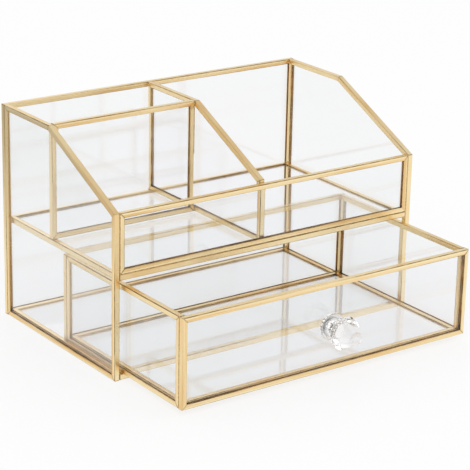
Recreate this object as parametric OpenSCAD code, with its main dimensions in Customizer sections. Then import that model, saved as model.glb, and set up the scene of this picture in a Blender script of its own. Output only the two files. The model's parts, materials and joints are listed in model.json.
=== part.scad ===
// Glass and brass jewelry box: three open compartments stand over a drawer.
// Every pane of clear glass sits in folded brass channel (came) that is mitred at the corners.
// +X is right, +Y is back and +Z is up. The origin is the middle of the case's front bottom edge.

/* [Case] */
// Width of the case
case_w = 250; // [200:5:320]
// Depth of the case
case_d = 146; // [130:2:200]
// Height of the case at its back
case_h = 155; // [140:5:200]
// Height of the low front, where the sloping edges start
front_h = 116; // [100:0.5:125]
// Depth of the sloping edges, from the front to the full height
slope_d = 82; // [60:1:100]
// Height of the shelf's upper face, over the drawer
shelf_h = 74; // [60:1:85]
// Left face of the long divider, from the middle of the case
divider_x = -6.9; // [-40:0.1:30]

/* [Glass and channel] */
// Thickness of every pane of glass
glass_t = 3; // [2:0.5:4]
// Thickness of the folded brass
brass_t = 0.6; // [0.4:0.1:0.7]
// Width of the channel's faces, from the pane's edge inwards
came_w = 3.5; // [3:0.1:6]
// Outer radius of the channel's two folds
fold_r = 0.8; // [0.75:0.05:1]
// Opening of each mitre along the channel, which the solder fills
mitre_gap = 0.1; // [0.05:0.05:0.3]

/* [Drawer] */
// How far the drawer stands open
drawer_open = 70; // [0:5:110]
// Clearance on each side of the drawer
drawer_side_gap = 1.8; // [0.5:0.1:4]
// Clearance over the drawer
drawer_top_gap = 2.8; // [0.5:0.1:6]
// Clearance behind the closed drawer
drawer_back_gap = 0.3; // [0.2:0.1:2]

/* [Knob] */
// Radius of the round foot that rests on the glass
foot_r = 9.8; // [8:0.2:14]
// Thickness of the foot's rim
foot_t = 1.6; // [1:0.1:3]
// Radius of the neck between the foot and the cut head
neck_r = 5.5; // [5:0.1:7]
// Radius of the cut head, to the middle of a facet of its girdle
girdle_r = 10.9; // [9:0.1:14]
// Height of the girdle's lower edge over the foot's face
girdle_z = 12.5; // [11.5:0.5:16]
// Height of the girdle's band
girdle_t = 2; // [1:0.5:4]
// Height of the flat table over the foot's face
table_z = 25.5; // [21:0.5:28]
// Radius of the flat table, to the middle of an edge
table_r = 4.6; // [4:0.1:8]
// Number of facets round the head, always even
facets = 8; // [6, 8, 10, 12]

/* [Hidden] */
came_t = glass_t + 2 * brass_t;
inner_x = case_w / 2 - came_t;
back_y = case_d - came_t;

// The drawer rests on the base and closes flush with the case's front.
drawer_x = inner_x - drawer_side_gap;
drawer_in_x = drawer_x - came_t;
drawer_z0 = came_t;
drawer_z1 = shelf_h - came_t - drawer_top_gap;
drawer_y0 = -drawer_open;
drawer_y1 = back_y - drawer_back_gap - drawer_open;

// The knob's screw: a small pan head, a washer, and a thread that ends in the knob's insert.
knob_z = (drawer_z0 + drawer_z1) / 2;
gasket_t = 0.5;
gasket_r = foot_r - 1;
screw_r = 1.95;
screw_grip = 8;
insert_r = 3.5;
insert_bore_r = 2;
insert_l = 10;
glass_hole_r = 2.5;
washer_r = 5.5;
washer_t = 1;
head_r = 3.8;
head_t = 2.4;
recess_w = 1.1;
recess_l = 4.2;
recess_d = 1.4;

// How far a cutting shape runs past what it cuts
over = 1;
$fn = 24;

side_edges = ["bottom", "back", "top", "slope", "front"];
wall_edges = ["bottom", "right", "top", "left"];
floor_edges = ["front", "right", "back", "left"];
knob_parts = ["knob", "knob_insert", "knob_gasket", "knob_washer", "knob_screw"];

function names(panel, pieces) = [for (p = pieces) str(panel, "_", p)];
function panel_names(panel, edges) = concat(names(panel, ["glass"]), names(str(panel, "_came"), edges));
function drawer_names(panel) = names(panel, ["glass", "came"]);

brass = [0.86, 0.70, 0.43];
steel = [0.72, 0.73, 0.74];
clear_glass = [0.86, 0.92, 0.92, 0.35];
clear_resin = [0.93, 0.95, 0.96, 0.5];

// ---- Outlines, as corners in order, counterclockwise from the bottom or front edge ----

function rectangle(x0, x1, y0, y1) = [[x0, y0], [x1, y0], [x1, y1], [x0, y1]];

// Height of the slope at a distance y behind the case's front
function slope_z(y) = front_h + y * (case_h - front_h) / slope_d;

// An upright pane with the case's slope, from y0 back and from z0 up
function stepped(y0, z0) = [
    [y0, z0], [back_y, z0], [back_y, case_h], [slope_d, case_h], [y0, slope_z(y0)]
];

function corner(outline, i) = outline[(i + len(outline)) % len(outline)];

// Direction of the edge that starts at corner i, and the normal that points into the pane
function along(outline, i) =
    let (step = corner(outline, i + 1) - corner(outline, i)) step / norm(step);
function inward(outline, i) = let (d = along(outline, i)) [-d.y, d.x];

// Step along the mitre of corner i that moves both of its edges inwards by 1 mm
function mitre(outline, i) =
    let (before = inward(outline, i - 1), after = inward(outline, i))
    (before + after) / (1 + before * after);

function inset(outline, d) = [
    for (i = [0:len(outline) - 1]) outline[i] + d * mitre(outline, i)
];

// ---- Channel and panes, drawn flat: the outline lies in XY and the thickness rises along Z ----

// The folded channel's section: x runs into the pane and y across its thickness.
module came_section() {
    difference() {
        union() {
            translate([fold_r, 0]) square([came_w - fold_r, came_t]);
            translate([0, fold_r]) square([came_w, came_t - 2 * fold_r]);
            for (y = [fold_r, came_t - fold_r])
                translate([fold_r, y]) circle(r = fold_r);
        }
        translate([brass_t, brass_t]) square([came_w, glass_t]);
    }
}

// The strip of channel on edge i, cut along the mitres at both of its corners
module came_strip(outline, i) {
    start = corner(outline, i);
    end = corner(outline, i + 1);
    step = along(outline, i);
    from = start + step * mitre_gap / 2;
    to = end - step * mitre_gap / 2;
    intersection() {
        translate(start)
            rotate(atan2(step.y, step.x))
                rotate([90, 0, 90])
                    linear_extrude(norm(end - start))
                        came_section();
        translate([0, 0, -over])
            linear_extrude(came_t + 2 * over)
                polygon([
                    from - over * mitre(outline, i),
                    to - over * mitre(outline, i + 1),
                    to + (came_w + over) * mitre(outline, i + 1),
                    from + (came_w + over) * mitre(outline, i)
                ]);
    }
}

// One piece of a framed pane: "glass", the name of one edge, or "came" for all of its channel
module framed_pane(outline, edges, piece) {
    if (piece == "glass")
        color(clear_glass)
            translate([0, 0, brass_t])
                linear_extrude(glass_t)
                    polygon(inset(outline, brass_t));
    for (i = [0:len(edges) - 1])
        if (piece == "came" || piece == edges[i])
            color(brass) came_strip(outline, i);
}

// Outline x and y become Y and Z, and the pane stands with its left face at x.
module facing_sideways(x) {
    translate([x, 0, 0]) rotate([90, 0, 90]) children();
}

// Outline x and y become X and Z, and the pane stands with its front face at y.
module facing_front(y) {
    translate([0, y + came_t, 0]) rotate([90, 0, 0]) children();
}

// The pane lies with its underside at z.
module lying(z) {
    translate([0, 0, z]) children();
}

// ---- Panes of the case ----

module left_side(piece) {
    facing_sideways(-case_w / 2) framed_pane(stepped(0, 0), side_edges, piece);
}

module right_side(piece) {
    facing_sideways(inner_x) framed_pane(stepped(0, 0), side_edges, piece);
}

module long_divider(piece) {
    facing_sideways(divider_x) framed_pane(stepped(came_t, shelf_h), side_edges, piece);
}

module cross_divider(piece) {
    facing_front(slope_d)
        framed_pane(rectangle(-inner_x, divider_x, shelf_h, case_h), wall_edges, piece);
}

module back(piece) {
    facing_front(back_y)
        framed_pane(rectangle(-case_w / 2, case_w / 2, 0, case_h), wall_edges, piece);
}

module front(piece) {
    facing_front(0)
        framed_pane(rectangle(-inner_x, inner_x, shelf_h, front_h), wall_edges, piece);
}

module shelf(piece) {
    lying(shelf_h - came_t)
        framed_pane(rectangle(-inner_x, inner_x, 0, back_y), floor_edges, piece);
}

module base(piece) {
    lying(0) framed_pane(rectangle(-inner_x, inner_x, 0, back_y), floor_edges, piece);
}

// ---- Panes of the drawer ----

module drawer_front(piece) {
    difference() {
        facing_front(drawer_y0)
            framed_pane(rectangle(-drawer_x, drawer_x, drawer_z0, drawer_z1), wall_edges, piece);
        on_knob_axis() cylinder(r = glass_hole_r, h = 4 * glass_t, center = true);
    }
}

module drawer_back(piece) {
    facing_front(drawer_y1 - came_t)
        framed_pane(rectangle(-drawer_x, drawer_x, drawer_z0, drawer_z1), wall_edges, piece);
}

module drawer_side(x, piece) {
    facing_sideways(x)
        framed_pane(rectangle(drawer_y0 + came_t, drawer_y1 - came_t, drawer_z0, drawer_z1),
                    wall_edges, piece);
}

module drawer_left(piece) {
    drawer_side(-drawer_x, piece);
}

module drawer_right(piece) {
    drawer_side(drawer_in_x, piece);
}

module drawer_bottom(piece) {
    lying(drawer_z0)
        framed_pane(rectangle(-drawer_in_x, drawer_in_x, drawer_y0 + came_t, drawer_y1 - came_t),
                    floor_edges, piece);
}

// ---- Knob ----

// Z runs out of the drawer's front, from the outer face of its glass.
module on_knob_axis() {
    translate([0, drawer_y0 + brass_t, knob_z]) rotate([90, 0, 0]) children();
}

// A head cut like a gem: flat facets all round, made by crossing slabs of one section.
// Each point of the section is [radius, height], from the neck up to the table.
module cut_head(section, turn) {
    low = section[0][1];
    high = section[len(section) - 1][1];
    mirrored = [for (i = [len(section) - 1:-1:0]) [-section[i][0], section[i][1]]];
    intersection_for (i = [0:facets / 2 - 1])
        rotate(turn + i * 360 / facets)
            rotate([90, 0, 0])
                linear_extrude(4 * girdle_r, center = true)
                    polygon(concat(section, mirrored));
}

// The round foot, with a cove that runs up into the neck
module knob_foot() {
    cove_r = foot_r - neck_r;
    rotate_extrude($fn = 48)
        difference() {
            square([foot_r, foot_t + cove_r]);
            translate([foot_r, foot_t + cove_r]) circle(r = cove_r, $fn = 48);
        }
}

module knob() {
    neck_z = foot_t + foot_r - neck_r;
    half_turn = 180 / facets;
    mid_r = (girdle_r + table_r) / 2;
    mid_z = (girdle_z + girdle_t + table_z) / 2;
    color(clear_resin)
        on_knob_axis()
            translate([0, 0, gasket_t])
                difference() {
                    union() {
                        knob_foot();
                        intersection() {
                            cut_head([[neck_r, neck_z - over], [neck_r, neck_z],
                                      [girdle_r, girdle_z], [girdle_r, girdle_z + girdle_t],
                                      [table_r, table_z]], 0);
                            cut_head([[neck_r, neck_z - over], [girdle_r, girdle_z - over],
                                      [girdle_r / cos(half_turn), girdle_z + girdle_t / 2],
                                      [mid_r, mid_z + over], [table_r, table_z]], half_turn);
                        }
                    }
                    translate([0, 0, -over]) cylinder(r = insert_r, h = insert_l + over);
                }
}

// The threaded bush that is pressed into the knob's foot
module knob_insert() {
    color(brass)
        on_knob_axis()
            translate([0, 0, gasket_t])
                difference() {
                    cylinder(r = insert_r, h = insert_l);
                    translate([0, 0, -over]) cylinder(r = insert_bore_r, h = insert_l + 2 * over);
                }
}

// The soft ring between the knob's foot and the glass
module knob_gasket() {
    color(clear_resin)
        on_knob_axis()
            difference() {
                cylinder(r = gasket_r, h = gasket_t);
                translate([0, 0, -over]) cylinder(r = glass_hole_r, h = gasket_t + 2 * over);
            }
}

// The washer on the glass inside the drawer
module knob_washer() {
    color(steel)
        on_knob_axis()
            translate([0, 0, -glass_t - washer_t])
                difference() {
                    cylinder(r = washer_r, h = washer_t);
                    translate([0, 0, -over]) cylinder(r = insert_bore_r, h = washer_t + 2 * over);
                }
}

// The screw from inside the drawer, with a domed pan head and a cross recess
module knob_screw() {
    color(steel)
        on_knob_axis()
            translate([0, 0, -glass_t - washer_t])
                difference() {
                    union() {
                        cylinder(r = screw_r, h = washer_t + glass_t + gasket_t + screw_grip);
                        intersection() {
                            translate([0, 0, -head_t]) cylinder(r = head_r, h = head_t);
                            translate([0, 0, 2 * head_r - head_t])
                                sphere(r = 2 * head_r, $fn = 48);
                        }
                    }
                    for (turn = [0, 90])
                        rotate(turn)
                            translate([-recess_l / 2, -recess_w / 2, -head_t - over])
                                cube([recess_l, recess_w, recess_d + over]);
                }
}

// ---- Nodes: the case's channel strip by strip, the drawer's channel pane by pane ----

left_side("glass");  // left_side_glass
for (e = side_edges) left_side(e);
right_side("glass");  // right_side_glass
for (e = side_edges) right_side(e);
long_divider("glass");  // long_divider_glass
for (e = side_edges) long_divider(e);
cross_divider("glass");  // cross_divider_glass
for (e = wall_edges) cross_divider(e);
back("glass");  // back_glass
for (e = wall_edges) back(e);
front("glass");  // front_glass
for (e = wall_edges) front(e);
shelf("glass");  // shelf_glass
for (e = floor_edges) shelf(e);
base("glass");  // base_glass
for (e = floor_edges) base(e);

for (p = ["glass", "came"]) drawer_front(p);
for (p = ["glass", "came"]) drawer_back(p);
for (p = ["glass", "came"]) drawer_left(p);
for (p = ["glass", "came"]) drawer_right(p);
for (p = ["glass", "came"]) drawer_bottom(p);

knob();
knob_insert();
knob_gasket();
knob_washer();
knob_screw();
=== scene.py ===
"""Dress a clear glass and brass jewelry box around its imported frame.

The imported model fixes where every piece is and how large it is. This script gives each
one its finish: ground glass panes, folded and soldered brass channel, and a cut resin
knob on its screw. Lengths are metres, +X is right, +Y is back and +Z is up.
"""

from __future__ import annotations

import json
import logging
import math
from collections.abc import Callable
from dataclasses import dataclass
from enum import Enum
from typing import Any

import bmesh
import bpy
from mathutils import Matrix, Vector

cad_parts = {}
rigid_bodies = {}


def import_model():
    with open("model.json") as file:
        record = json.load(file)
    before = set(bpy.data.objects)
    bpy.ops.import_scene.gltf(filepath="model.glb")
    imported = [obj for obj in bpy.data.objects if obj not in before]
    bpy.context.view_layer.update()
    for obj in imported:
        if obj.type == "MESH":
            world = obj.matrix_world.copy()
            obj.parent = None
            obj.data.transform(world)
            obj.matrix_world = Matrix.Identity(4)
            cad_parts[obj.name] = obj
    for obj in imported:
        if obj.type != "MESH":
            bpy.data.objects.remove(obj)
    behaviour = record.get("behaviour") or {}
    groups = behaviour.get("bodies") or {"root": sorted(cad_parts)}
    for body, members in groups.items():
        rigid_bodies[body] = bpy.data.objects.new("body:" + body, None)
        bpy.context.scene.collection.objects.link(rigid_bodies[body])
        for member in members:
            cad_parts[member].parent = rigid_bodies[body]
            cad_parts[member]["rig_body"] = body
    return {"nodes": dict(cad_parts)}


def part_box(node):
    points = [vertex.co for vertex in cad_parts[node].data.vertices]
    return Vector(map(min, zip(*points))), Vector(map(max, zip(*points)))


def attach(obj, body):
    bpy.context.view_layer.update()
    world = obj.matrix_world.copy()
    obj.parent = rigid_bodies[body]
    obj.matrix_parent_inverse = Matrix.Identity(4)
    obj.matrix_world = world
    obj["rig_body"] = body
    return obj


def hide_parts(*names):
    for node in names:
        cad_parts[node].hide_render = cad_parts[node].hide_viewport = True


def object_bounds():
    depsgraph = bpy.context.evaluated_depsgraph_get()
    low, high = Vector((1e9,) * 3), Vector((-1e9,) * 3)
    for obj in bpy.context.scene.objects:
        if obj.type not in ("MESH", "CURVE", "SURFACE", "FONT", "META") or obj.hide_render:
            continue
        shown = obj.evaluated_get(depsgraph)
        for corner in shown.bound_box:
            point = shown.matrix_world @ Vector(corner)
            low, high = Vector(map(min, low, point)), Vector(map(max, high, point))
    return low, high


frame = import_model()
CAD_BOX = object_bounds()

log = logging.getLogger("jewelry_box")
MM = 0.001
WHITE = (1.0, 1.0, 1.0, 1.0)
STRIP_UV = "strip"
ENDS_UV = "ends"
# Corners of a CAD mesh nearer than this are one corner.
WELD = 0.002 * MM
# In degrees: faces that turn less are one face, and edges that turn more are sharp.
FLAT_UNDER = 0.5
SHARP_OVER = 50.0
# A cut whose normal leans at least this far along its strip is the strip's mitre.
MITRE_LEAN = 0.3
# What a socket can be linked from: an output, or a node for its first output.
Source = bpy.types.Node | bpy.types.NodeSocket


class Body(Enum):
    """The two bodies that the drawer's slide joins."""

    CASE = "case"
    DRAWER = "drawer"


class Slot(Enum):
    """The record's material slots."""

    GLASS = "clear_glass"
    BRASS = "brass"
    RESIN = "clear_resin"
    GASKET = "clear_gasket"
    STEEL = "steel"


class Joint(Enum):
    """How a strip's fold meets the metal beside it."""

    OPEN = "open"
    FLUSH = "flush"
    CORNER = "corner"


# ---- Nodes and meshes ----


def linear(hex_colour: str) -> tuple[float, float, float, float]:
    """Turn an sRGB hex colour into linear RGBA.

    Args:
        hex_colour: Six hex digits after a hash, such as "#e6c08a".

    Returns:
        Linear red, green and blue, and an alpha of 1.
    """
    parts = [int(hex_colour[i : i + 2], 16) / 255 for i in (1, 3, 5)]
    toe = [c / 12.92 if c <= 0.04045 else ((c + 0.055) / 1.055) ** 2.4 for c in parts]
    return (*toe, 1.0)


def add_node(
    tree: bpy.types.NodeTree,
    kind: str,
    settings: dict[str, Any] | None = None,
    sockets: dict[str | int, Any] | None = None,
) -> bpy.types.Node:
    """Add a node with its settings, and fill or link its inputs.

    Args:
        tree: The tree that takes the node.
        kind: The node's type, such as "ShaderNodeTexNoise".
        settings: Properties of the node and their values. "stops" holds a colour ramp's
            two ends as (position, hex colour) pairs.
        sockets: Input names or indices, each with a value, an output to link from, or a
            node, which stands for its first output.

    Returns:
        The new node.
    """
    node = tree.nodes.new(kind)
    for name, value in (settings or {}).items():
        if name == "stops":
            for end, (position, colour) in zip(node.color_ramp.elements, value, strict=True):
                end.position = position
                end.color = linear(colour)
        else:
            setattr(node, name, value)
    for key, value in (sockets or {}).items():
        if isinstance(value, bpy.types.Node):
            value = value.outputs[0]
        if isinstance(value, bpy.types.NodeSocket):
            tree.links.new(value, node.inputs[key])
        else:
            node.inputs[key].default_value = value
    return node


def new_material(name: str) -> tuple[bpy.types.Material, bpy.types.NodeTree]:
    """Make a material with an empty node tree.

    Args:
        name: The finish's name.

    Returns:
        The material and its tree.
    """
    material = bpy.data.materials.new(name)
    material.use_nodes = True
    material.node_tree.nodes.clear()
    return material, material.node_tree


def grain(tree: bpy.types.NodeTree, size_mm: float, detail: float = 3.0) -> bpy.types.Node:
    """Make an even, cloudy pattern that stays on its piece.

    Args:
        tree: The material's tree.
        size_mm: Size of a patch.
        detail: How many finer layers it has.

    Returns:
        The pattern, from 0 to 1.
    """
    spot = add_node(tree, "ShaderNodeTexCoord")
    sockets = {"Vector": spot.outputs["Object"], "Scale": 1 / (size_mm * MM), "Detail": detail}
    return add_node(tree, "ShaderNodeTexNoise", None, sockets)


def streaks(
    tree: bpy.types.NodeTree, size_mm: tuple[float, float], detail: float = 3.0
) -> bpy.types.Node:
    """Make a pattern of patches that are longer along a strip than across it.

    Args:
        tree: The material's tree.
        size_mm: Length and width of a patch.
        detail: How many finer layers it has.

    Returns:
        The pattern, from 0 to 1.
    """
    strip = add_node(tree, "ShaderNodeUVMap", {"uv_map": STRIP_UV})
    scale = (1 / (size_mm[0] * MM), 1 / (size_mm[1] * MM), 1.0)
    spread = add_node(tree, "ShaderNodeMapping", None, {"Vector": strip, "Scale": scale})
    return add_node(
        tree,
        "ShaderNodeTexNoise",
        {"noise_dimensions": "2D"},
        {"Vector": spread, "Scale": 1.0, "Detail": detail},
    )


def dress(tree: bpy.types.NodeTree, **sockets: Any) -> None:
    """End a material with a surface.

    Args:
        tree: The material's tree.
        **sockets: The surface's inputs, with an underscore for each space.
    """
    inputs = {name.replace("_", " "): value for name, value in sockets.items()}
    surface = add_node(tree, "ShaderNodeBsdfPrincipled", None, inputs)
    add_node(tree, "ShaderNodeOutputMaterial", None, {"Surface": surface})


def welded_copy(node: str) -> bmesh.types.BMesh:
    """Copy a CAD node's mesh, with its loose triangles merged into flat faces.

    Args:
        node: The CAD node's name.

    Returns:
        The merged mesh, in the row frame.
    """
    mesh = bmesh.new()
    mesh.from_mesh(frame["nodes"][node].data)
    bmesh.ops.remove_doubles(mesh, verts=mesh.verts, dist=WELD)
    bmesh.ops.dissolve_limit(
        mesh, angle_limit=math.radians(FLAT_UNDER), verts=mesh.verts, edges=mesh.edges
    )
    return mesh


def soften_edges(mesh: bmesh.types.BMesh, width: float, over_degrees: float = SHARP_OVER) -> None:
    """Round the sharp edges of a mesh a little.

    Args:
        mesh: The mesh to change.
        width: Width of the rounding.
        over_degrees: Edges that turn by more than this are rounded.
    """
    limit = math.radians(over_degrees)
    sharp = [e for e in mesh.edges if e.is_manifold and e.calc_face_angle(0.0) > limit]
    bmesh.ops.bevel(
        mesh, geom=sharp, offset=width, segments=2, profile=0.5, affect="EDGES", clamp_overlap=True
    )


def draw_in(mesh: bmesh.types.BMesh, distance: float) -> None:
    """Move every face of a solid inwards by a small distance.

    Args:
        mesh: The solid to change.
        distance: How far its faces move.
    """
    mesh.normal_update()
    moves = [(v, v.normal * v.calc_shell_factor() * distance) for v in mesh.verts]
    for vertex, move in moves:
        vertex.co -= move


def turned_solid(
    radius: Callable[[float, float], float],
    length: float,
    steps: tuple[int, int],
    bore: float = 0.0,
) -> bmesh.types.BMesh:
    """Make a closed solid about Z whose radius follows a rule.

    Args:
        radius: Gives the outer radius at an angle and a height.
        length: Height of the solid, from z = 0.
        steps: Number of steps round and along.
        bore: Radius of a plain bore from end to end, or 0 for none.

    Returns:
        The solid.
    """
    mesh = bmesh.new()
    turns, rows = steps
    angles = [i * math.tau / turns for i in range(turns)]

    def ring(radii: list[float], z: float) -> list[bmesh.types.BMVert]:
        """Make one ring of corners at height z, with a radius for each angle."""
        return [
            mesh.verts.new((r * math.cos(a), r * math.sin(a), z))
            for a, r in zip(angles, radii, strict=True)
        ]

    heights = [length * k / rows for k in range(rows + 1)]
    rings = [ring([radius(a, z) for a in angles], z) for z in heights]
    if bore:
        rings += [ring([bore] * turns, z) for z in (length, 0.0)]
        rings.append(rings[0])
    for low, high in zip(rings, rings[1:]):
        for i in range(turns):
            j = (i + 1) % turns
            mesh.faces.new((low[i], low[j], high[j], high[i]))
    if not bore:
        mesh.faces.new(rings[0][::-1])
        mesh.faces.new(rings[-1])
    return mesh


def with_even_normals(piece: bpy.types.Object) -> bpy.types.Mesh:
    """Bake a piece whose wide faces keep their own normals up to their edges.

    Args:
        piece: The piece, in the scene.

    Returns:
        Its mesh with the new normals.
    """
    old = piece.data
    even = piece.modifiers.new("even_normals", "WEIGHTED_NORMAL")
    even.keep_sharp = True
    even.weight = 100
    bpy.context.view_layer.update()
    seen = piece.evaluated_get(bpy.context.evaluated_depsgraph_get())
    baked = bpy.data.meshes.new_from_object(seen)
    baked.name = piece.name
    piece.modifiers.clear()
    piece.data = baked
    bpy.data.meshes.remove(old)
    return baked


@dataclass(frozen=True)
class Placing:
    """How a finished piece joins the object."""

    body: Body
    slot: Slot
    replaces: tuple[str, ...] = ()
    smooth_under: float = 35.0


def place(name: str, mesh: bpy.types.Mesh, finish: bpy.types.Material, placing: Placing) -> None:
    """Make an object of a finished mesh and let it ride on its body.

    Args:
        name: The piece's name.
        mesh: Its mesh, in the row frame.
        finish: Its material.
        placing: Its body, slot and the CAD nodes that it stands for.
    """
    mesh.materials.clear()
    mesh.materials.append(finish)
    mesh.shade_smooth()
    mesh.set_sharp_from_angle(angle=math.radians(placing.smooth_under))
    piece = bpy.data.objects.new(name, mesh)
    bpy.context.scene.collection.objects.link(piece)
    mesh = with_even_normals(piece)
    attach(piece, placing.body.value)
    if placing.replaces:
        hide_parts(*placing.replaces)
    log.info("%s: %d faces on %s", name, len(mesh.polygons), placing.body.value)


def to_mesh(source: bmesh.types.BMesh) -> bpy.types.Mesh:
    """Turn a bmesh into a mesh and free it.

    Args:
        source: The bmesh, which is gone afterwards.

    Returns:
        The mesh.
    """
    mesh = bpy.data.meshes.new("made")
    source.to_mesh(mesh)
    source.free()
    return mesh


def body_of(node: str) -> Body:
    """Give the body that a CAD node rides on."""
    return Body(frame["nodes"][node]["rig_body"])


# ---- Finishes ----


@dataclass(frozen=True)
class Mark:
    """A soft line along a strip: the distance that it follows and how it looks.

    It has its full strength in the "core" of its half width and fades out from there.
    """

    follows: bpy.types.Node
    at_mm: float
    half_mm: float
    strength: float
    core: float = 0.3


@dataclass(frozen=True)
class RubbedBrass:
    """Pale brass strip, folded, rubbed along its length and lacquered.

    The broad faces are clean and pale. A darker brown line runs in each fold, where it is
    painted dark reflection with some patina, along each cut edge, where it is painted
    shadow, and in each mitre, where flux stains the joint. A painted highlight band lies
    beside each fold, and the rubbing leaves fine lines along the strip.
    """

    face: str = "#f9e1b0"
    shade: str = "#ecc688"
    painted_highlight: str = "#fff0c6"
    patina_and_shade: str = "#75552f"
    # Roughness where the rag rubbed most and least, and what the dark lines add.
    gloss: tuple[float, float] = (0.22, 0.34)
    dark_lines_dull: float = 0.2
    # The rubbed lines are drawn wider than real ones, which are too fine to show.
    rub_mm: tuple[float, float] = (25.0, 0.25)
    rub_depth_mm: float = 0.01
    rub_strength: float = 0.15
    # How much of the rubbed lines shows in the colour, and where shade ends and face
    # begins in the sum of the lines and the slow change of tone.
    rub_share: float = 0.35
    tone_mm: tuple[float, float] = (110.0, 6.25)
    tone_ends: tuple[float, float] = (0.5, 0.75)
    # Dark lines run in the fold (painted dark reflection with some patina), along the cut
    # edge (painted shadow) and in the mitre (flux stain). Their places are
    # distances round the skin from the middle of the closed side.
    fold_at_mm: float = 1.93
    cut_at_mm: float = 5.257
    line_mm: float = 0.46
    fold_shade_and_patina: float = 0.92
    cut_edge_shadow: float = 0.85
    mitre_stain: float = 0.95
    # A painted highlight band lies this far to each side of the fold's dark line.
    highlight_apart_mm: float = 0.95
    highlight_wider: float = 1.2
    highlight_strength: float = 0.85
    # Patches where a dark line or a painted highlight fades, and what is left of it there.
    short_gap_mm: tuple[float, float] = (8.0, 2.0)
    short_gap_rest: float = 0.65
    long_gap_mm: tuple[float, float] = (140.0, 6.5)
    long_gap_rest: float = 0.15
    gap_ends: tuple[float, float] = (0.4, 0.57)

    @staticmethod
    def lines(tree: bpy.types.NodeTree, marks: list[Mark]) -> bpy.types.Node:
        """Draw soft lines along a strip and take the strongest at each place.

        Args:
            tree: The material's tree.
            marks: The lines.

        Returns:
            The strength, from 0 to 1.
        """
        total: Any = 0.0
        for mark in marks:
            off = add_node(
                tree,
                "ShaderNodeMath",
                {"operation": "SUBTRACT"},
                {0: mark.follows, 1: mark.at_mm * MM},
            )
            away = add_node(tree, "ShaderNodeMath", {"operation": "ABSOLUTE"}, {0: off})
            drawn = add_node(
                tree,
                "ShaderNodeMapRange",
                {"interpolation_type": "SMOOTHSTEP"},
                {
                    "Value": away,
                    "From Min": mark.core * mark.half_mm * MM,
                    "From Max": mark.half_mm * MM,
                    "To Min": mark.strength,
                    "To Max": 0.0,
                },
            )
            total = add_node(tree, "ShaderNodeMath", {"operation": "MAXIMUM"}, {0: drawn, 1: total})
        return total

    def broken_up(self, tree: bpy.types.NodeTree, amount: bpy.types.Node) -> bpy.types.Node:
        """Break the dark lines and painted highlights up in short patches, and leave some strips
        with fainter lines than others.

        Args:
            tree: The material's tree.
            amount: The strength of the lines.

        Returns:
            The uneven strength.
        """
        gaps = ((self.short_gap_mm, self.short_gap_rest), (self.long_gap_mm, self.long_gap_rest))
        for size_mm, rest in gaps:
            uneven = add_node(
                tree,
                "ShaderNodeMapRange",
                sockets={
                    "Value": streaks(tree, size_mm),
                    "From Min": self.gap_ends[0],
                    "From Max": self.gap_ends[1],
                    "To Min": rest,
                    "To Max": 1.0,
                },
            )
            amount = add_node(
                tree, "ShaderNodeMath", {"operation": "MULTIPLY"}, {0: amount, 1: uneven}
            )
        return amount

    def stains_and_painted_light(self, tree: bpy.types.NodeTree) -> tuple[bpy.types.Node, bpy.types.Node]:
        """Give where the brass is darkened by stains, patina and painted shade, and where painted
        highlights lie.

        Args:
            tree: The material's tree.

        Returns:
            The strengths of the dark lines (stains, patina and painted shade) and of the painted
            highlights, from 0 to 1.
        """
        across, to_ends = (
            add_node(
                tree,
                "ShaderNodeSeparateXYZ",
                sockets={0: add_node(tree, "ShaderNodeUVMap", {"uv_map": name})},
            )
            for name in (STRIP_UV, ENDS_UV)
        )
        skin = add_node(tree, "ShaderNodeMath", {"operation": "ABSOLUTE"}, {0: across.outputs[1]})
        mitre = add_node(
            tree,
            "ShaderNodeMath",
            {"operation": "MINIMUM"},
            {0: to_ends.outputs[0], 1: to_ends.outputs[1]},
        )
        line, wide = self.line_mm, self.highlight_wider * self.line_mm
        # Dark lines: painted dark reflection with some patina in the fold, painted shadow along the
        # cut edge, and a flux stain in the mitre.
        stains_and_shade = [
            Mark(skin, self.fold_at_mm, line, self.fold_shade_and_patina),
            Mark(skin, self.cut_at_mm, line, self.cut_edge_shadow),
            Mark(mitre, 0.0, line, self.mitre_stain),
        ]
        # Painted highlights: a bright band to each side of the fold.
        painted_highlights = [
            Mark(skin, self.fold_at_mm + apart, wide, self.highlight_strength)
            for apart in (-self.highlight_apart_mm, self.highlight_apart_mm)
        ]
        dark, bright = self.lines(tree, stains_and_shade), self.lines(tree, painted_highlights)
        return self.broken_up(tree, dark), self.broken_up(tree, bright)

    def material(self) -> bpy.types.Material:
        """Build the material. The strip's UV map holds real lengths in metres.

        Returns:
            The material.
        """
        material, tree = new_material("rubbed_brass")
        patina_and_shade_amount, bright = self.stains_and_painted_light(tree)
        lines = streaks(tree, self.rub_mm)
        # Each strip has its own stretch of this pattern, so neighbours differ a little.
        tone = streaks(tree, self.tone_mm, 2.0)
        mottled = add_node(
            tree,
            "ShaderNodeMath",
            {"operation": "MULTIPLY_ADD"},
            {0: lines, 1: self.rub_share, 2: tone},
        )
        colour: Source = add_node(
            tree,
            "ShaderNodeValToRGB",
            {"stops": zip(self.tone_ends, (self.shade, self.face))},
            {"Fac": mottled},
        )
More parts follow.
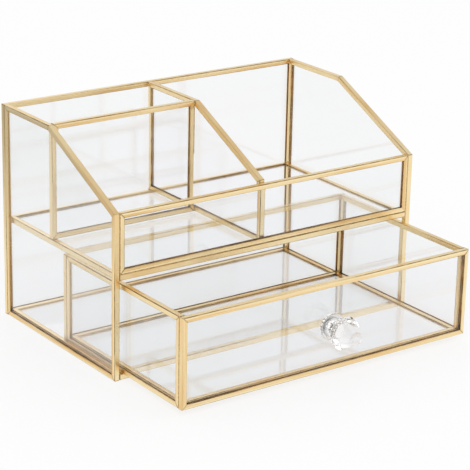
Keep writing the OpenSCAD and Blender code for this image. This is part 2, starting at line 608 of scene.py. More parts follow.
        # Mix in the painted highlight bands, then the dark lines of stain, patina and painted
        # shade.
        for amount, coat in ((bright, self.painted_highlight), (patina_and_shade_amount, self.patina_and_shade)):
            mixed = add_node(
                tree,
                "ShaderNodeMix",
                {"data_type": "RGBA"},
                {0: amount, 6: colour, 7: linear(coat)},
            )
            colour = mixed.outputs[2]
        rubbed = add_node(
            tree,
            "ShaderNodeMapRange",
            sockets={"Value": lines, "To Min": self.gloss[0], "To Max": self.gloss[1]},
        )
        gloss = add_node(
            tree,
            "ShaderNodeMath",
            {"operation": "MULTIPLY_ADD"},
            {0: patina_and_shade_amount, 1: self.dark_lines_dull, 2: rubbed},
        )
        bump = add_node(
            tree,
            "ShaderNodeBump",
            sockets={
                "Height": lines, "Strength": self.rub_strength, "Distance": self.rub_depth_mm * MM
            },
        )
        dress(tree, Base_Color=colour, Metallic=1.0, Roughness=gloss, Normal=bump)
        return material


@dataclass(frozen=True)
class GildedSolder:
    """Solder that is plated with the box: pale gold, soft edged and a little pitted."""

    bright: str = "#ecd3a2"
    dull: str = "#a9854f"
    grain_mm: float = 0.9
    pit_mm: float = 0.05
    pit_strength: float = 0.4
    pit_ends: tuple[float, float] = (0.4, 0.6)
    roughness: float = 0.34

    def material(self) -> bpy.types.Material:
        """Build the material.

        Returns:
            The material.
        """
        material, tree = new_material("gilded_solder")
        pits = grain(tree, self.grain_mm)
        colour = add_node(
            tree,
            "ShaderNodeValToRGB",
            {"stops": zip(self.pit_ends, (self.dull, self.bright))},
            {"Fac": pits},
        )
        bump = add_node(
            tree,
            "ShaderNodeBump",
            sockets={"Height": pits, "Strength": self.pit_strength, "Distance": self.pit_mm * MM},
        )
        dress(tree, Base_Color=colour, Metallic=1.0, Roughness=self.roughness, Normal=bump)
        return material


@dataclass(frozen=True)
class ClearStuff:
    """A clear, colourless solid: float glass, cut resin or soft vinyl.

    Faint waves or a fine skin keep its reflections from being perfectly flat, and a
    hair of body colour shows where many layers lie behind each other. "gloss" holds the
    roughness at the two ends of the pattern. Below "skin_from" it stays at the first.
    """

    name: str
    thick: str
    thin: str
    ior: float
    pattern_mm: float
    gloss: tuple[float, float]
    tint_ends: tuple[float, float] = (0.3, 0.7)
    skin_from: float = 0.4

    def material(self) -> bpy.types.Material:
        """Build the material.

        Returns:
            The material.
        """
        material, tree = new_material(self.name)
        pattern = grain(tree, self.pattern_mm, 1.0)
        colour = add_node(
            tree,
            "ShaderNodeValToRGB",
            {"stops": zip(self.tint_ends, (self.thick, self.thin))},
            {"Fac": pattern},
        )
        roughness: Source | float = self.gloss[0]
        if self.gloss[0] != self.gloss[1]:
            roughness = add_node(
                tree,
                "ShaderNodeMapRange",
                sockets={
                    "Value": pattern,
                    "From Min": self.skin_from,
                    "To Min": self.gloss[0],
                    "To Max": self.gloss[1],
                },
            )
        dress(tree, Base_Color=colour, Roughness=roughness, IOR=self.ior, Transmission_Weight=1.0)
        return material


# Float glass: flat and clear, and it takes away next to nothing from what lies behind.
FLOAT_GLASS = ClearStuff("float_glass", "#fbfcfc", "#fdfdfe", 1.52, 160.0, (0.0, 0.0))
# Cast acrylic with polished facets: sharp glints, a touch softer here and there.
CUT_RESIN = ClearStuff("cut_resin", "#f8f6f5", "#fcfbfa", 1.49, 8.0, (0.0, 0.03))
# Punched vinyl sheet: clear with a soft skin, so it shows as a faint ring.
SOFT_VINYL = ClearStuff("soft_vinyl", "#f6f7f6", "#fafafa", 1.45, 0.4, (0.04, 0.14))


@dataclass(frozen=True)
class PlatedMetal:
    """Turned metal with a bright coat that the plating bath leaves slightly mottled."""

    name: str
    bright: str
    dull: str
    mottle_mm: float = 1.2
    mottle_ends: tuple[float, float] = (0.35, 0.65)
    # Roughness where the coat is dull and where it is bright.
    gloss: tuple[float, float] = (0.36, 0.22)

    def material(self) -> bpy.types.Material:
        """Build the material.

        Returns:
            The material.
        """
        material, tree = new_material(self.name)
        mottle = grain(tree, self.mottle_mm)
        colour = add_node(
            tree,
            "ShaderNodeValToRGB",
            {"stops": zip(self.mottle_ends, (self.dull, self.bright))},
            {"Fac": mottle},
        )
        gloss = add_node(
            tree,
            "ShaderNodeMapRange",
            sockets={"Value": mottle, "To Min": self.gloss[0], "To Max": self.gloss[1]},
        )
        dress(tree, Base_Color=colour, Metallic=1.0, Roughness=gloss)
        return material


# Zinc on steel: cool grey, with a satin gloss.
ZINC_STEEL = PlatedMetal("zinc_steel", "#c9ccd0", "#9ea2a6")
# Nickel on the brass bush: silvery, with darker clouds between its knurls.
NICKEL_COAT = PlatedMetal("nickel_coat", "#d3d2ce", "#8d8c89", 0.9)


# ---- Panes and their channel ----


@dataclass(frozen=True)
class ChannelSection:
    """The folded section of the brass channel, which is the same on every strip."""

    half: float = 2.1 * MM
    fold: float = 0.8 * MM
    deep: float = 3.5 * MM

    @property
    def flat(self) -> float:
        """Give half the width of the closed side's flat part."""
        return self.half - self.fold


SECTION = ChannelSection()


@dataclass(frozen=True)
class StripFrame:
    """Where one strip of channel lies: its directions, its section and its mitres.

    Inside the section, "depth" runs from the closed side into the pane, and "side" runs
    across the pane's thickness from its middle.
    """

    node: str
    run: Vector
    inward: Vector
    across: Vector
    rim: float
    middle: float
    ends: tuple[tuple[Vector, Vector], tuple[Vector, Vector]]

    @classmethod
    def of(cls, node: str, faces: list[bmesh.types.BMFace]) -> StripFrame:
        """Measure a strip from its faces.

        Args:
            node: The channel's CAD node.
            faces: All faces of the strip.

        Returns:
            The strip's frame.
        """
        low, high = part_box(node.split("_came")[0] + "_glass")
        size = high - low
        thin = min(range(3), key=lambda k: size[k])
        across = Vector([1.0 if k == thin else 0.0 for k in range(3)])
        edges = {e for f in faces for e in f.edges}
        longest = max(edges, key=lambda e: e.calc_length())
        a, b = (v.co for v in longest.verts)
        inward = across.cross(b - a).normalized()
        if ((low + high) / 2 - (a + b) / 2).dot(inward) < 0:
            inward.negate()
        run = inward.cross(across)
        points = [v.co for f in faces for v in f.verts]
        sides = [p.dot(across) for p in points]
        ends = []
        for sign in (-1, 1):
            cuts = [f for f in faces if sign * f.normal.dot(run) > MITRE_LEAN]
            cut = max(cuts, key=lambda f: f.calc_area())
            ends.append((cut.verts[0].co.copy(), cut.normal.copy()))
        return cls(
            node,
            run,
            inward,
            across,
            min(p.dot(inward) for p in points),
            (min(sides) + max(sides)) / 2,
            (ends[0], ends[1]),
        )

    def depth(self, point: Vector) -> float:
        """Give how far a point is from the strip's closed side."""
        return point.dot(self.inward) - self.rim

    def side(self, point: Vector) -> float:
        """Give how far a point is from the middle of the pane's thickness."""
        return point.dot(self.across) - self.middle

    def from_end(self, which: int, point: Vector) -> float:
        """Give how far a point is from one of the mitre's planes."""
        on_plane, normal = self.ends[which]
        return (on_plane - point).dot(normal)

    def at(self, run: float, depth: float, side: float) -> Vector:
        """Give the point at a place in the strip's own directions."""
        return (
            self.run * run + self.inward * (depth + self.rim) + self.across * (side + self.middle)
        )

    def at_end(self, which: int, depth: float, side: float) -> Vector:
        """Give the point of a mitre's plane at a place in the section.

        Args:
            which: 0 for the start and 1 for the end.
            depth: Distance from the closed side.
            side: Distance from the middle of the thickness.

        Returns:
            The point.
        """
        on_plane, normal = self.ends[which]
        base = self.at(0.0, depth, side)
        return base + self.run * ((on_plane - base).dot(normal) / self.run.dot(normal))


@dataclass
class ChannelStrips:
    """The folded brass channel on every edge of every pane."""

    cut_edge: float = 0.07 * MM
    smooth_under: float = 40.0
    # Each strip takes its stretch of the patterns this far (in metres) past the last.
    strip_apart: float = 0.31
    finish: RubbedBrass = RubbedBrass()

    @staticmethod
    def islands(mesh: bmesh.types.BMesh) -> list[list[bmesh.types.BMFace]]:
        """Split a mesh into its separate strips.

        Args:
            mesh: One or more strips.

        Returns:
            The faces of each strip.
        """
        left, found = set(mesh.faces), []
        for first in mesh.faces:
            if first not in left:
                continue
            left.discard(first)
            group, edge = [], [first]
            while edge:
                face = edge.pop()
                group.append(face)
                near = {f for e in face.edges for f in e.link_faces} & left
                left -= near
                edge.extend(near)
            found.append(group)
        return found

    @staticmethod
    def unfolded(strip: StripFrame, point: Vector) -> float:
        """Give a point's distance from the middle of the closed side, round the fold.

        Args:
            strip: The strip's frame.
            point: A point on its skin.

        Returns:
            The distance along the flattened brass.
        """
        depth, side = strip.depth(point), abs(strip.side(point))
        flat, fold = SECTION.flat, SECTION.fold
        if side <= flat:
            return side
        if depth <= fold:
            return flat + fold * math.atan2(side - flat, fold - depth)
        return flat + fold * math.pi / 2 + depth - fold

    def unroll(self, node: str, mesh: bmesh.types.BMesh, first: int) -> list[StripFrame]:
        """Give each strip its two UV maps, in metres.

        The first map holds the distance along the strip and the distance round its
        folds. The second holds the distances to its two mitres.

        Args:
            node: The channel's CAD node.
            mesh: Its strips.
            first: Number of the first strip, which picks its stretch of the pattern.

        Returns:
            The frames of the strips.
        """
        mesh.normal_update()
        along = mesh.loops.layers.uv.new(STRIP_UV)
        to_ends = mesh.loops.layers.uv.new(ENDS_UV)
        frames = []
        for count, faces in enumerate(self.islands(mesh)):
            strip = StripFrame.of(node, faces)
            frames.append(strip)
            shift = self.strip_apart * (first + count)
            for loop in (loop for face in faces for loop in face.loops):
                point = loop.vert.co
                loop[along].uv = (point.dot(strip.run) + shift, self.unfolded(strip, point))
                loop[to_ends].uv = (strip.from_end(0, point), strip.from_end(1, point))
        return frames

    def build(self) -> list[StripFrame]:
        """Make a finished piece for each channel node.

        Returns:
            The frames of all strips.
        """
        brass = self.finish.material()
        frames: list[StripFrame] = []
        for node in sorted(n for n in frame["nodes"] if "_came" in n):
            mesh = welded_copy(node)
            soften_edges(mesh, self.cut_edge)
            frames += self.unroll(node, mesh, len(frames))
            placing = Placing(body_of(node), Slot.BRASS, (node,), self.smooth_under)
            place(f"{node}_strip", to_mesh(mesh), brass, placing)
        return frames


@dataclass
class SolderSeams:
    """Solder in the joints of the channel, one mesh for each body.

    Solder fills every mitre up to the metal's skin, fills the groove between folds that
    lie side by side, and stands as a small fillet where metal meets metal in a corner.
    """

    strips: list[StripFrame]
    mitre_radius: float = 0.14 * MM
    fold_steps: int = 6
    groove_radius: float = 0.36 * MM
    corner_radius: float = 0.30 * MM
    # How far beside a fold the script looks for other metal.
    probe: float = 0.5 * MM
    spacing: float = 0.8 * MM
    # A bead swells and shrinks by the ripple, in lumps of this length.
    ripple: float = 0.04 * MM
    lump: float = 5.88235 * MM
    bead_sides: int = 8
    seed: int = 7
    smooth_under: float = 80.0

    def boxes(self, body: Body) -> list[tuple[str, Vector, Vector]]:
        """List the metal that solder can hold on to, as boxes.

        Args:
            body: The body to look at.

        Returns:
            The node, lowest corner and highest corner of each strip.
        """
        found = []
        for strip in self.strips:
            if body_of(strip.node) is body:
                corners = [
                    strip.at_end(end, depth, side)
                    for end in (0, 1)
                    for depth in (0.0, SECTION.deep)
                    for side in (-SECTION.half, SECTION.half)
                ]
                low = Vector([min(c[k] for c in corners) for k in range(3)])
                high = Vector([max(c[k] for c in corners) for k in range(3)])
                found.append((strip.node, low, high))
        return found

    def mitre_path(self, strip: StripFrame) -> list[Vector]:
        """Trace a strip's section round its first mitre, just under the skin.

        Args:
            strip: The strip.

        Returns:
            The points of the path.
        """
        under = self.mitre_radius
        bend, edge, deep = SECTION.fold - under, SECTION.half - under, SECTION.deep - under
        steps = range(1, self.fold_steps + 1)
        turns = [math.radians(90 * step / self.fold_steps) for step in steps]
        arc = [
            (SECTION.fold - bend * math.cos(turn), SECTION.flat + bend * math.sin(turn))
            for turn in turns
        ]
        low = [(depth, -side) for depth, side in reversed(arc)]
        section = [(deep, -edge), *low, (under, 0.0), *arc, (deep, edge)]
        return [strip.at_end(0, depth, side) for depth, side in section]

    def joint_at(
        self, strip: StripFrame, metal: list[tuple[str, Vector, Vector]], spot: tuple[float, int]
    ) -> Joint:
        """Tell how a strip's fold meets other metal at a place along it.

        Args:
            strip: The strip.
            metal: The boxes of the body's strips.
            spot: The distance along the strip, and -1 or 1 for its side.

        Returns:
            The kind of joint.
        """
        run, sign = spot
        panel = strip.node.split("_came")[0]
        beside = strip.at(run, -self.probe, sign * (SECTION.half - self.probe))
        beyond = strip.at(run, -self.probe, sign * (SECTION.half + self.probe))

        def in_metal(point: Vector) -> bool:
            """Tell whether a point lies in the metal of another pane's channel."""
            return any(
                not node.startswith(panel + "_came")
                and all(low[k] < point[k] < high[k] for k in range(3))
                for node, low, high in metal
            )

        if not in_metal(beside):
            return Joint.OPEN
        return Joint.CORNER if in_metal(beyond) else Joint.FLUSH

    def fold_paths(
        self, strip: StripFrame, metal: list[tuple[str, Vector, Vector]]
    ) -> list[tuple[float, list[Vector]]]:
        """Trace the stretches of a strip's two folds that take solder.

        Args:
            strip: The strip.
            metal: The boxes of the body's strips.

        Returns:
            The bead's radius and the path of each stretch.
        """
        groove, corner = self.groove_radius, self.corner_radius
        centres = {
            Joint.FLUSH: (groove, groove, SECTION.half - groove),
            Joint.CORNER: (corner, corner, SECTION.half),
        }
        found = []
        for sign in (-1, 1):
            ends = [strip.at_end(k, 0.0, sign * SECTION.half).dot(strip.run) for k in (0, 1)]
            start, end = min(ends), max(ends)
            count = max(2, int((end - start) / self.spacing))
            stops = [start + (end - start) * k / count for k in range(count + 1)]
            kinds = [self.joint_at(strip, metal, (run, sign)) for run in stops]
            begin = 0
            for k in range(1, count + 2):
                if k <= count and kinds[k] is kinds[begin]:
                    continue
                if kinds[begin] is not Joint.OPEN and k - begin > 1:
                    radius, depth, side = centres[kinds[begin]]
                    path = [strip.at(run, depth, sign * side) for run in stops[begin:k]]
                    found.append((radius, path))
                begin = k
        return found

    def bead_tree(self) -> bpy.types.NodeTree:
        """Build the tree that lays a bead of solder along each path.

        Returns:
            The tree. Its paths carry their own radius in the attribute "bead".
        """
        tree = bpy.data.node_groups.new("solder_beads", "GeometryNodeTree")
        for name, kind in (
            ("Paths", "NodeSocketGeometry"),
            ("Spacing", "NodeSocketFloat"),
            ("Ripple", "NodeSocketFloat"),
            ("Seed", "NodeSocketFloat"),
            ("Finish", "NodeSocketMaterial"),
        ):
            tree.interface.new_socket(name, in_out="INPUT", socket_type=kind)
        tree.interface.new_socket("Beads", in_out="OUTPUT", socket_type="NodeSocketGeometry")
        given = add_node(tree, "NodeGroupInput")
        curves = add_node(tree, "GeometryNodeMeshToCurve", sockets={0: given.outputs["Paths"]})
        even = add_node(
            tree,
            "GeometryNodeResampleCurve",
            {"mode": "LENGTH"},
            {"Curve": curves, "Length": given.outputs["Spacing"]},
        )
        radius = add_node(
            tree, "GeometryNodeInputNamedAttribute", {"data_type": "FLOAT"}, {"Name": "bead"}
        )
        lumps = add_node(
            tree,
            "ShaderNodeTexNoise",
            {"noise_dimensions": "4D"},
            {"W": given.outputs["Seed"], "Scale": 1 / self.lump, "Detail": 0.0},
        )
        swell = add_node(
            tree,
            "ShaderNodeMath",
            {"operation": "MULTIPLY_ADD"},
            {0: lumps, 1: given.outputs["Ripple"], 2: radius},
        )
        less = add_node(
            tree,
            "ShaderNodeMath",
            {"operation": "SUBTRACT"},
            {0: swell, 1: given.outputs["Ripple"]},
        )
        profile = add_node(
            tree,
            "GeometryNodeCurvePrimitiveCircle",
            {"mode": "RADIUS"},
            {"Resolution": self.bead_sides, "Radius": 1.0},
        )
        tube = add_node(
            tree,
            "GeometryNodeCurveToMesh",
            sockets={"Curve": even, "Profile Curve": profile, "Scale": less, "Fill Caps": True},
        )
        real = add_node(tree, "GeometryNodeRealizeInstances", sockets={0: tube})
        dressed = add_node(
            tree,
            "GeometryNodeSetMaterial",
            sockets={"Geometry": real, "Material": given.outputs["Finish"]},
        )
        add_node(tree, "NodeGroupOutput", sockets={0: dressed})
        return tree

    def lay(
        self,
        name: str,
        paths: list[tuple[float, list[Vector]]],
        tree: bpy.types.NodeTree,
        finish: bpy.types.Material,
    ) -> bpy.types.Mesh:
        """Run the tree along paths and keep the plain mesh.

        Args:
            name: The mesh's name.
            paths: Each bead's radius and points.
            tree: The bead tree.
            finish: The solder's material.

        Returns:
            The beads.
        """
        points = [point for _, path in paths for point in path]
        edges, count = [], 0
        for _, path in paths:
            edges += [(count + k, count + k + 1) for k in range(len(path) - 1)]
            count += len(path)
        mesh = bpy.data.meshes.new(name)
        mesh.from_pydata(points, edges, [])
        radii = mesh.attributes.new("bead", "FLOAT", "POINT")
        values = [radius for radius, path in paths for _ in path]
        radii.data.foreach_set("value", values)
        holder = bpy.data.objects.new(name, mesh)
        bpy.context.scene.collection.objects.link(holder)
        laying = holder.modifiers.new("beads", "NODES")
        laying.node_group = tree
        inputs = {item.name: item.identifier for item in tree.interface.items_tree}
        laying[inputs["Spacing"]] = self.spacing
        laying[inputs["Ripple"]] = self.ripple
        laying[inputs["Seed"]] = float(self.seed)
        laying[inputs["Finish"]] = finish
        bpy.context.view_layer.update()
        seen = holder.evaluated_get(bpy.context.evaluated_depsgraph_get())
        beads = bpy.data.meshes.new_from_object(seen)
        bpy.data.objects.remove(holder)
        bpy.data.meshes.remove(mesh)
        return beads

    def build(self) -> None:
        """Lay the solder of both bodies."""
        finish = GildedSolder().material()
        tree = self.bead_tree()
        for body in Body:
            metal = self.boxes(body)
            paths: list[tuple[float, list[Vector]]] = []
            for strip in self.strips:
                if body_of(strip.node) is body:
                    paths.append((self.mitre_radius, self.mitre_path(strip)))
                    paths += self.fold_paths(strip, metal)
            name = f"{body.value}_solder"
            beads = self.lay(name, paths, tree, finish)
            place(name, beads, finish, Placing(body, Slot.BRASS, (), self.smooth_under))


@dataclass
class GlassPanes:
    """The panes, each with ground edges and a hair's breadth of play in its channel."""

    play: float = 0.03 * MM
    arris: float = 0.2 * MM

    def build(self) -> None:
        """Make a finished piece for each glass node."""
        glass = FLOAT_GLASS.material()
        for node in sorted(n for n in frame["nodes"] if n.endswith("_glass")):
            pane = welded_copy(node)
            draw_in(pane, self.play)
            soften_edges(pane, self.arris)
            placing = Placing(body_of(node), Slot.GLASS, (node,))
            place(f"{node}_pane", to_mesh(pane), glass, placing)


# ---- Knob ----


@dataclass
class CutKnob:
    """The clear knob with its hardware, on one axis that runs out of the drawer."""

    facet_edge: float = 0.08 * MM
    play: float = 0.02 * MM
    thread_pitch: float = 0.7 * MM
    thread_depth: float = 0.36 * MM
    thread_steps: int = 8
    thread_sides: int = 32
    # Over 1, and the thread's crest is flat.
    thread_crest: float = 1.4
    # Drawn coarser than real knurls, which would be too fine to show through the resin.
    knurls: int = 14
    knurl_depth: float = 0.35 * MM
    knurl_groove: float = 0.5 * MM
    bush_rows: int = 40
    # The head's facets meet at small angles, in degrees.
    facet_over: float = 12.0
    facet_smooth: float = 8.0

    def on_axis(self, mesh: bmesh.types.BMesh, start: float) -> None:
        """Turn a solid's Z along the knob's axis and move it there.

        Args:
            mesh: The solid, about Z from z = 0.
            start: The Y where its z = 0 goes. The solid then runs towards the front.
        """
        low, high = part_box("knob_screw")
        middle = (low + high) / 2
        move = Matrix.Translation((middle.x, start, middle.z))
        bmesh.ops.transform(
            mesh, matrix=move @ Matrix.Rotation(math.radians(90), 4, "X"), verts=mesh.verts
        )

    def screw(self) -> bmesh.types.BMesh:
        """Make the screw: its head from the CAD, and a shank with a rolled thread.

        Returns:
            The screw.
        """
        washer_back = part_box("knob_washer")[1].y
        mesh = welded_copy("knob_screw")
        radius = self.reach(mesh, washer_back - MM)[1]
        geometry = [*mesh.verts, *mesh.edges, *mesh.faces]
        cut = bmesh.ops.bisect_plane(
            mesh,
            geom=geometry,
            plane_co=(0.0, washer_back + self.play, 0.0),
            plane_no=(0.0, -1.0, 0.0),
            clear_outer=True,
        )
        rim = [e for e in cut["geom_cut"] if isinstance(e, bmesh.types.BMEdge)]
        bmesh.ops.holes_fill(mesh, edges=rim)
        soften_edges(mesh, self.facet_edge)
        length = washer_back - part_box("knob_screw")[0].y

        def thread(angle: float, height: float) -> float:
            """Give the thread's radius at an angle and a height."""
            turn = (height / self.thread_pitch - angle / math.tau) % 1.0
            ridge = min(1.0, self.thread_crest * (1 - abs(2 * turn - 1)))
            lead = min(1.0, (length - height) / self.thread_pitch)
            return radius - self.thread_depth * (1 - ridge * lead)

        rows = round(length / self.thread_pitch * self.thread_steps)
        shank = turned_solid(thread, length, (self.thread_sides, rows))
        self.on_axis(shank, washer_back)
        joined = to_mesh(shank)
        mesh.from_mesh(joined)
        bpy.data.meshes.remove(joined)
        return mesh

    @staticmethod
    def reach(mesh: bmesh.types.BMesh, before: float) -> tuple[float, float]:
        """Measure how near and how far a solid is from the knob's axis.

        Args:
            mesh: The solid.
            before: Only corners with a smaller Y than this are measured.

        Returns:
            The least and the greatest distance.
        """
        low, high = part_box("knob_screw")
        middle = (low + high) / 2
        away = [
            math.hypot(v.co.x - middle.x, v.co.z - middle.z) for v in mesh.verts if v.co.y < before
        ]
        return min(away), max(away)

    def cast_head(self) -> bmesh.types.BMesh:
        """Make the head with a socket that takes the bush's knurls.

        The resin is cast round the bush and shrinks a hair's breadth off it.

        Returns:
            The head.
        """
        mesh = welded_copy("knob")
        low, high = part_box("knob_insert")
        middle, limit = (low + high) / 2, (high.x - low.x) / 2 + self.play
        foot = high.y - self.play
        socket = [
            v
            for v in mesh.verts
            if math.hypot(v.co.x - middle.x, v.co.z - middle.z) < limit
            and v.co.y < foot
        ]
        bmesh.ops.delete(mesh, geom=socket, context="VERTS")
        soften_edges(mesh, self.facet_edge, self.facet_over)
        imprint = self.bush(0.0)
        bmesh.ops.reverse_faces(imprint, faces=imprint.faces)
        mouth = [f for f in imprint.faces if f.calc_center_median().y > foot]
        bmesh.ops.delete(imprint, geom=mouth, context="FACES")
        joined = to_mesh(imprint)
        mesh.from_mesh(joined)
        bpy.data.meshes.remove(joined)
        rims = [e for e in mesh.edges if e.is_boundary]
        bmesh.ops.bridge_loops(mesh, edges=rims)
        return mesh

    def bush(self, play: float) -> bmesh.types.BMesh:
        """Make the threaded bush: two knurled bands with a plain groove between.

        Args:
            play: How far its skin lies inside that of the socket.

        Returns:
            The bush, or with no play the shape of its socket.
        """
        low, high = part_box("knob_insert")
        plain = welded_copy("knob_insert")
        bore, outer = self.reach(plain, high.y)
        plain.free()
        outer -= play
        length = high.y - low.y - play

        def knurled(angle: float, height: float) -> float:
            """Give the bush's radius at an angle and a height."""
            if abs(height - length / 2) < 2 * self.knurl_groove:
                return outer - 2 * self.knurl_depth
            edge = min(height, length - height)
            if edge < self.knurl_groove:
                return outer - self.knurl_depth
            wave = abs(2 * ((angle * self.knurls / math.tau) % 1.0) - 1)
            return outer - self.knurl_depth * wave

        steps = (4 * self.knurls, self.bush_rows)
        mesh = turned_solid(knurled, length, steps, bore if play else 0.0)
        self.on_axis(mesh, high.y)
        mesh.normal_update()
        return mesh

    def build(self) -> None:
        """Make the knob's pieces."""
        ring, washer = welded_copy("knob_gasket"), welded_copy("knob_washer")
        draw_in(ring, self.play)
        draw_in(washer, self.play)
        soften_edges(washer, 2 * self.facet_edge)
        head, bush, screw = self.cast_head(), self.bush(self.play), self.screw()
        stuffs = (CUT_RESIN, SOFT_VINYL, NICKEL_COAT, ZINC_STEEL)
        resin, vinyl, nickel, steel = (stuff.material() for stuff in stuffs)
        made = (
            ("cut_head", "knob", head, resin, Slot.RESIN),
            ("soft_ring", "knob_gasket", ring, vinyl, Slot.GASKET),
            ("knurled_bush", "knob_insert", bush, nickel, Slot.BRASS),
            ("flat_washer", "knob_washer", washer, steel, Slot.STEEL),
            ("pan_screw", "knob_screw", screw, steel, Slot.STEEL),
        )
        for name, node, mesh, finish, slot in made:
            smooth = self.facet_smooth if slot is Slot.RESIN else Placing.smooth_under
            placing = Placing(Body.DRAWER, slot, (node,), smooth)
            place(f"knob_{name}", to_mesh(mesh), finish, placing)


# ---- Studio ----


@dataclass(frozen=True)
class SoftLamp:
    """A large soft lamp that points at the object."""

    name: str
    at: tuple[float, float, float]
    watts: float
    size: float = 1.2

    def build(self, aim: Vector) -> None:
        """Hang the lamp and turn it to its aim.

        Args:
            aim: The point that the lamp faces.
        """
        light = bpy.data.lights.new(self.name, "AREA")
        light.shape = "SQUARE"
        light.size = self.size
        light.energy = self.watts
        lamp = bpy.data.objects.new(self.name, light)
        lamp.location = self.at
        lamp.rotation_mode = "QUATERNION"
        lamp.rotation_quaternion = (aim - lamp.location).to_track_quat("-Z", "Y")
        bpy.context.scene.collection.objects.link(lamp)


@dataclass
class Studio:
    """A white room, a white floor, soft lamps and the camera.

    The eye sees pure white past the object. Through glass the same paper shows a shade
    less bright, and metal that faces the far back left mirrors its dimmer end.
    """

    lamps: tuple[SoftLamp, ...] = (
        SoftLamp("key", (-1.0, -1.2, 1.6), 6.0),
        SoftLamp("fill", (1.5, -0.8, 1.2), 3.0),
        SoftLamp("back", (0.3, 1.6, 1.3), 1.5),
    )
    world_light: float = 0.90
    # What glass leaves of the white behind it, and how much of the floor's white is shown
    # straight and not lit by the lamps.
    through: float = 0.955
    own_white: float = 0.8
    # The dim end: where it lies, how bright it is, and where the room (in parts of a unit
    # direction) and the floor (in metres) fade into it.
    dim_towards: tuple[float, float, float] = (-0.62, 0.78, 0.0)
    dim_level: float = 0.45
    dim_turn: tuple[float, float] = (0.3, 0.9)
    dim_height: tuple[float, float] = (0.05, 0.45)
    dim_floor: tuple[float, float] = (0.20, 0.65)
    # Metal that faces up mirrors a ceiling that is a shade darker.
    dim_overhead: float = 0.46
    overhead_height: tuple[float, float] = (0.0, 0.3)
    paper: tuple[str, str] = ("#f7f7f7", "#f8f8f8")
    paper_cloud_mm: float = 333.333
    paper_ends: tuple[float, float] = (0.3, 0.7)
    floor_half: float = 6.0
    floor_drop: float = 0.1 * MM
    # The camera: its turn in degrees, its place, and its focal length in picture pixels.
    azimuth: float = -36.0978
    elevation: float = 19.3707
    roll: float = 1.2742
    camera_at: tuple[float, float, float] = (-0.7514365, -0.98996, 0.5151874)
    focal_px: float = 1937.2141
    picture_px: float = 470.0
    sensor: float = 36.0

    def shown(self, tree: bpy.types.NodeTree, dim: bpy.types.Node) -> tuple[Source, Source]:
        """Give what the eye, glass and metal see of a white surface.

        Args:
            tree: The tree that takes the nodes.
            dim: How much of its dim end metal mirrors here, from 0 to 1.

        Returns:
            The share that is seen and not lit, and the strength of that white.
        """
        path = add_node(tree, "ShaderNodeLightPath")
        glossy = path.outputs["Is Glossy Ray"]
        crossed = path.outputs["Is Transmission Ray"]
        seen: Source = path.outputs["Is Camera Ray"]
        for ray in (glossy, crossed):
            seen = add_node(tree, "ShaderNodeMath", {"operation": "MAXIMUM"}, {0: seen, 1: ray})
        # A ray through clear glass counts as glossy too, so it is taken out here.
        mirrored = add_node(
            tree,
            "ShaderNodeMath",
            {"operation": "SUBTRACT", "use_clamp": True},
            {0: glossy, 1: crossed},
        )
        dimmed = add_node(tree, "ShaderNodeMath", {"operation": "MULTIPLY"}, {0: mirrored, 1: dim})
        level = add_node(
            tree,
            "ShaderNodeMapRange",
            sockets={"Value": dimmed, "To Min": 1.0, "To Max": self.dim_level},
        )
        greyed = add_node(
            tree, "ShaderNodeMath", {"operation": "MULTIPLY"}, {0: crossed, 1: 1.0 - self.through}
        )
        strength = add_node(
            tree, "ShaderNodeMath", {"operation": "SUBTRACT"}, {0: level, 1: greyed}
        )
        return seen, strength

    def world(self) -> None:
        """Light the room evenly and show it white to the eye, metal and glass."""
        room = bpy.data.worlds.new("white_room")
        room.use_nodes = True
        tree = room.node_tree
        tree.nodes.clear()
        direction = add_node(tree, "ShaderNodeTexCoord").outputs["Generated"]
        facing = add_node(
            tree,
            "ShaderNodeVectorMath",
            {"operation": "DOT_PRODUCT"},
            {0: direction, 1: self.dim_towards},
        )
        split = add_node(tree, "ShaderNodeSeparateXYZ", sockets={0: direction})
        turned, low, overhead = (
            add_node(
                tree,
                "ShaderNodeMapRange",
                {"interpolation_type": "SMOOTHSTEP"},
                {
                    "Value": value,
                    "From Min": span[0],
                    "From Max": span[1],
                    "To Min": levels[0],
                    "To Max": levels[1],
                },
            )
            for value, span, levels in (
                (facing.outputs["Value"], self.dim_turn, (0.0, 1.0)),
                (split.outputs[2], self.dim_height, (1.0, 0.0)),
                (split.outputs[2], self.overhead_height, (0.0, self.dim_overhead)),
            )
        )
        far = add_node(tree, "ShaderNodeMath", {"operation": "MULTIPLY"}, {0: turned, 1: low})
        dim = add_node(tree, "ShaderNodeMath", {"operation": "MAXIMUM"}, {0: far, 1: overhead})
        seen, strength = self.shown(tree, dim)
        lighting, shown = (
            add_node(tree, "ShaderNodeBackground", sockets={"Color": WHITE, "Strength": amount})
            for amount in (self.world_light, strength)
        )
        both = add_node(tree, "ShaderNodeMixShader", sockets={0: seen, 1: lighting, 2: shown})
        add_node(tree, "ShaderNodeOutputWorld", sockets={"Surface": both})
        bpy.context.scene.world = room

    def floor(self) -> None:
        """Lay the white floor that the box stands on."""
        mesh = bmesh.new()
        z = CAD_BOX[0].z - self.floor_drop
        ring = [(-1, -1), (1, -1), (1, 1), (-1, 1)]
        reach = self.floor_half
        mesh.faces.new([mesh.verts.new((x * reach, y * reach, z)) for x, y in ring])
        sheet = bpy.data.objects.new("floor", to_mesh(mesh))
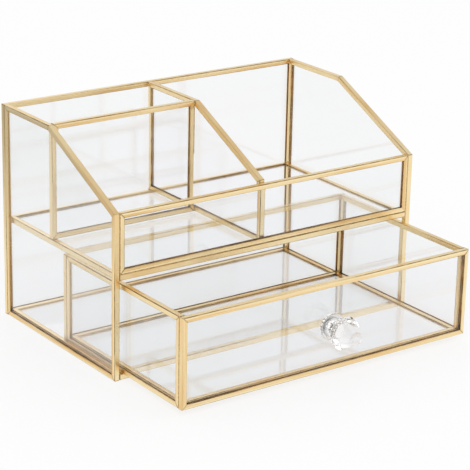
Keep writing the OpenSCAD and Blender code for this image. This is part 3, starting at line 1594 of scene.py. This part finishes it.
        # Matt white paper: it fades into the room, and only the box's soft shade shows.
        material, tree = new_material("white_paper")
        colour = add_node(
            tree,
            "ShaderNodeValToRGB",
            {"stops": zip(self.paper_ends, self.paper)},
            {"Fac": grain(tree, self.paper_cloud_mm, 2.0)},
        )
        surface = add_node(
            tree,
            "ShaderNodeBsdfPrincipled",
            sockets={"Base Color": colour, "Roughness": 1.0, "Specular IOR Level": 0.0},
        )
        along = add_node(
            tree,
            "ShaderNodeVectorMath",
            {"operation": "DOT_PRODUCT"},
            {0: add_node(tree, "ShaderNodeTexCoord").outputs["Object"], 1: self.dim_towards},
        )
        dim = add_node(
            tree,
            "ShaderNodeMapRange",
            {"interpolation_type": "SMOOTHSTEP"},
            {
                "Value": along.outputs["Value"],
                "From Min": self.dim_floor[0],
                "From Max": self.dim_floor[1],
            },
        )
        seen, strength = self.shown(tree, dim)
        share = add_node(
            tree, "ShaderNodeMath", {"operation": "MULTIPLY"}, {0: seen, 1: self.own_white}
        )
        glow = add_node(tree, "ShaderNodeEmission", sockets={"Color": WHITE, "Strength": strength})
        both = add_node(tree, "ShaderNodeMixShader", sockets={0: share, 1: surface, 2: glow})
        add_node(tree, "ShaderNodeOutputMaterial", sockets={"Surface": both})
        sheet.data.materials.append(material)
        bpy.context.scene.collection.objects.link(sheet)

    def camera(self) -> None:
        """Set the camera at its measured place, turn and focal length."""
        data = bpy.data.cameras.new("camera")
        data.sensor_width = self.sensor
        data.lens = self.focal_px * self.sensor / self.picture_px
        data.clip_end = 100.0
        a, e = math.radians(self.azimuth), math.radians(self.elevation)
        back = Vector((math.sin(a) * math.cos(e), -math.cos(a) * math.cos(e), math.sin(e)))
        right = Vector((0, 0, 1)).cross(back).normalized()
        up = back.cross(right)
        turn = math.radians(self.roll)
        rolled = right * math.cos(turn) + up * math.sin(turn)
        risen = up * math.cos(turn) - right * math.sin(turn)
        axes = Matrix((rolled, risen, back)).transposed()
        holder = bpy.data.objects.new("camera", data)
        holder.matrix_world = Matrix.Translation(self.camera_at) @ axes.to_4x4()
        bpy.context.scene.collection.objects.link(holder)
        bpy.context.scene.camera = holder

    def build(self) -> None:
        """Make the whole studio."""
        self.world()
        self.floor()
        self.camera()
        aim = (CAD_BOX[0] + CAD_BOX[1]) / 2
        for lamp in self.lamps:
            lamp.build(aim)
        scene = bpy.context.scene
        scene.view_settings.view_transform = "Standard"
        # Light crosses many panes before it leaves the box.
        scene.cycles.max_bounces = 32
        scene.cycles.transmission_bounces = 32
        scene.cycles.glossy_bounces = 8


def main() -> None:
    """Build the box's pieces in order, then the studio."""
    logging.basicConfig(level=logging.INFO, format="%(name)s: %(message)s")
    GlassPanes().build()
    SolderSeams(ChannelStrips().build()).build()
    CutKnob().build()
    Studio().build()


if __name__ == "__main__":
    main()
